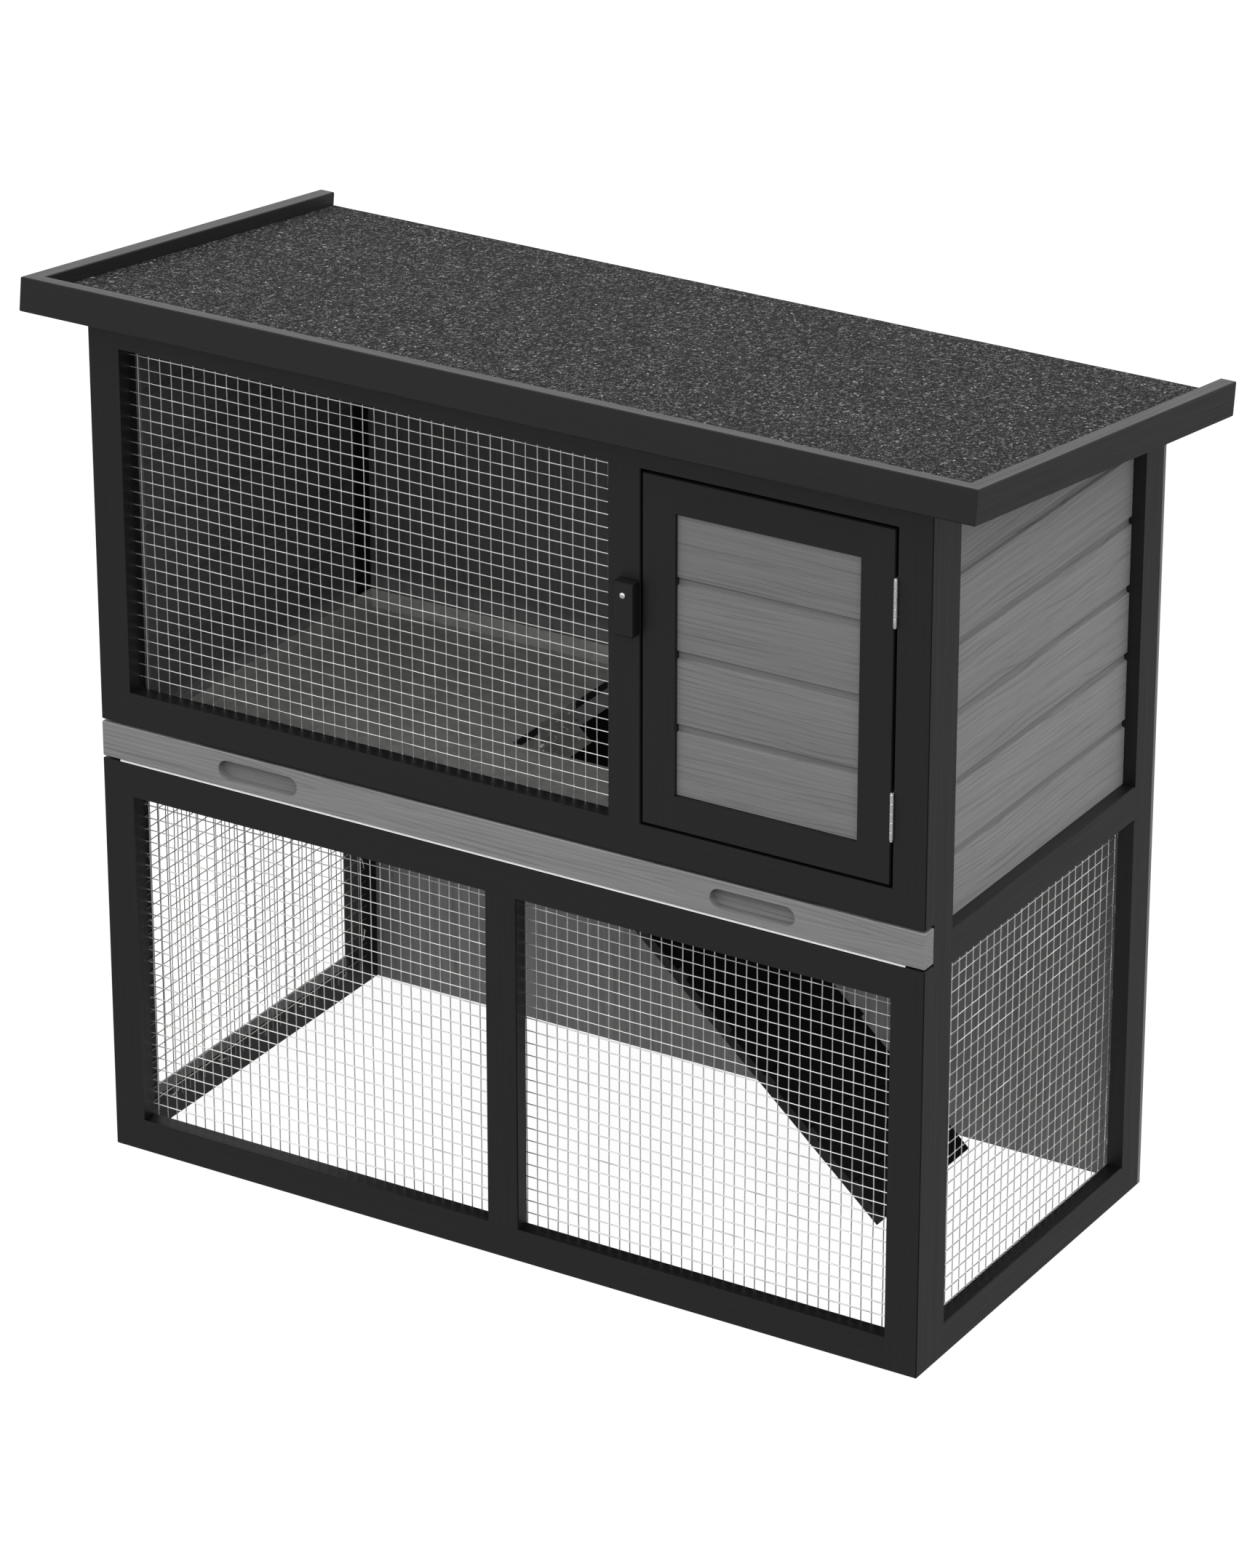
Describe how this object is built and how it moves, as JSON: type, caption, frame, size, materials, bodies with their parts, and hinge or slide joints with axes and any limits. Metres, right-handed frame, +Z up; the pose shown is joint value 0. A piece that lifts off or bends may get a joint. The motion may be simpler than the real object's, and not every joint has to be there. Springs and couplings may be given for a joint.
{
  "type": "rabbit hutch",
  "caption": "Two-storey wooden rabbit hutch with wire mesh runs, a lift-up felted roof, a hinged door, a slide-out tray and a ramp.",
  "frame": {"origin": "on the floor, under the middle of the hutch's overall box", "axes": "+X along the front to the right, +Y from front to back, +Z up"},
  "size_m": [0.9146, 0.4556, 0.8177],
  "materials": {
    "black_stain": "matt black wood stain",
    "grey_stain": "matt grey wood stain over visible grain",
    "roofing_felt": "mineral-surfaced bitumen felt",
    "galvanised_steel": "galvanised",
    "zinc_steel": "zinc plated"
  },
  "bodies": {
    "body": {"lower_front_stile_left": "black_stain", "lower_front_stile_right": "black_stain", "lower_front_bottom_rail": "black_stain", "lower_front_top_rail": "black_stain", "lower_front_centre_stile": "black_stain", "upper_front_stile_left": "black_stain", "upper_front_stile_right": "black_stain", "upper_front_bottom_rail": "black_stain", "upper_front_top_rail": "black_stain", "upper_front_centre_stile": "black_stain", "side_front_stile_left": "black_stain", "side_rear_stile_left": "black_stain", "side_bottom_rail_left": "black_stain", "side_middle_rail_left": "black_stain", "side_top_rail_left": "black_stain", "side_front_stile_right": "black_stain", "side_rear_stile_right": "black_stain", "side_bottom_rail_right": "black_stain", "side_middle_rail_right": "black_stain", "side_top_rail_right": "black_stain", "back_top_rail": "black_stain", "tray_runner_left": "black_stain", "tray_runner_right": "black_stain", "ramp_support_bar": "black_stain", "lower_front_mesh_left": "galvanised_steel", "lower_front_mesh_right": "galvanised_steel", "upper_front_mesh": "galvanised_steel", "side_mesh_left": "galvanised_steel", "side_mesh_right": "galvanised_steel", "side_boarding_left": "grey_stain", "side_boarding_right": "grey_stain", "back_panel": "grey_stain", "sleeping_bay_divider": "grey_stain", "door_hinge_frame_leaf_lower": "zinc_steel", "door_hinge_frame_leaf_upper": "zinc_steel", "door_hinge_pin_lower": "zinc_steel", "door_hinge_pin_upper": "zinc_steel", "roof_hinge_body_leaf_left": "zinc_steel", "roof_hinge_body_leaf_right": "zinc_steel", "ramp_hinge_bar_leaf": "zinc_steel", "turn_button_screw": "zinc_steel"},
    "roof": {"roof_front_rail": "black_stain", "roof_side_rail_left": "black_stain", "roof_side_rail_right": "black_stain", "roof_deck": "grey_stain", "roof_felt": "roofing_felt", "roof_hinge_roof_leaf_left": "zinc_steel", "roof_hinge_roof_leaf_right": "zinc_steel"},
    "door": {"door_stile_latch_side": "black_stain", "door_stile_hinge_side": "black_stain", "door_bottom_rail": "black_stain", "door_top_rail": "black_stain", "door_panel": "grey_stain", "door_hinge_door_leaf_lower": "zinc_steel", "door_hinge_door_leaf_upper": "zinc_steel"},
    "turn_button": {"door_turn_button": "black_stain"},
    "tray": {"tray_front_board": "grey_stain", "tray_pan": "galvanised_steel"},
    "ramp": {"ramp_board": "black_stain", "ramp_hinge_ramp_leaf": "zinc_steel"}
  },
  "joints": [
    {"name": "roof_hinge", "type": "hinge", "parent": "body", "child": "roof", "pos_m": [0, 0.20751, 0.73549], "axis": [-1, 0, 0], "range_deg": [0, 92]},
    {"name": "door_hinge", "type": "hinge", "parent": "body", "child": "door", "pos_m": [0.3745, -0.20379, 0.603], "axis": [0, 0, 1], "range_deg": [0, 170]},
    {"name": "latch_turn", "type": "hinge", "parent": "body", "child": "turn_button", "pos_m": [0.127, -0.20719, 0.6515], "axis": [0, -1, 0], "range_deg": [0, 90]},
    {"name": "tray_slide", "type": "slide", "parent": "body", "child": "tray", "axis": [0, -1, 0], "range_m": [0, 0.36]},
    {"name": "ramp_hinge", "type": "hinge", "parent": "body", "child": "ramp", "pos_m": [-0.1235, 0.09291, 0.3521], "axis": [0, -1, 0], "range_deg": [0, 35]}
  ]
}
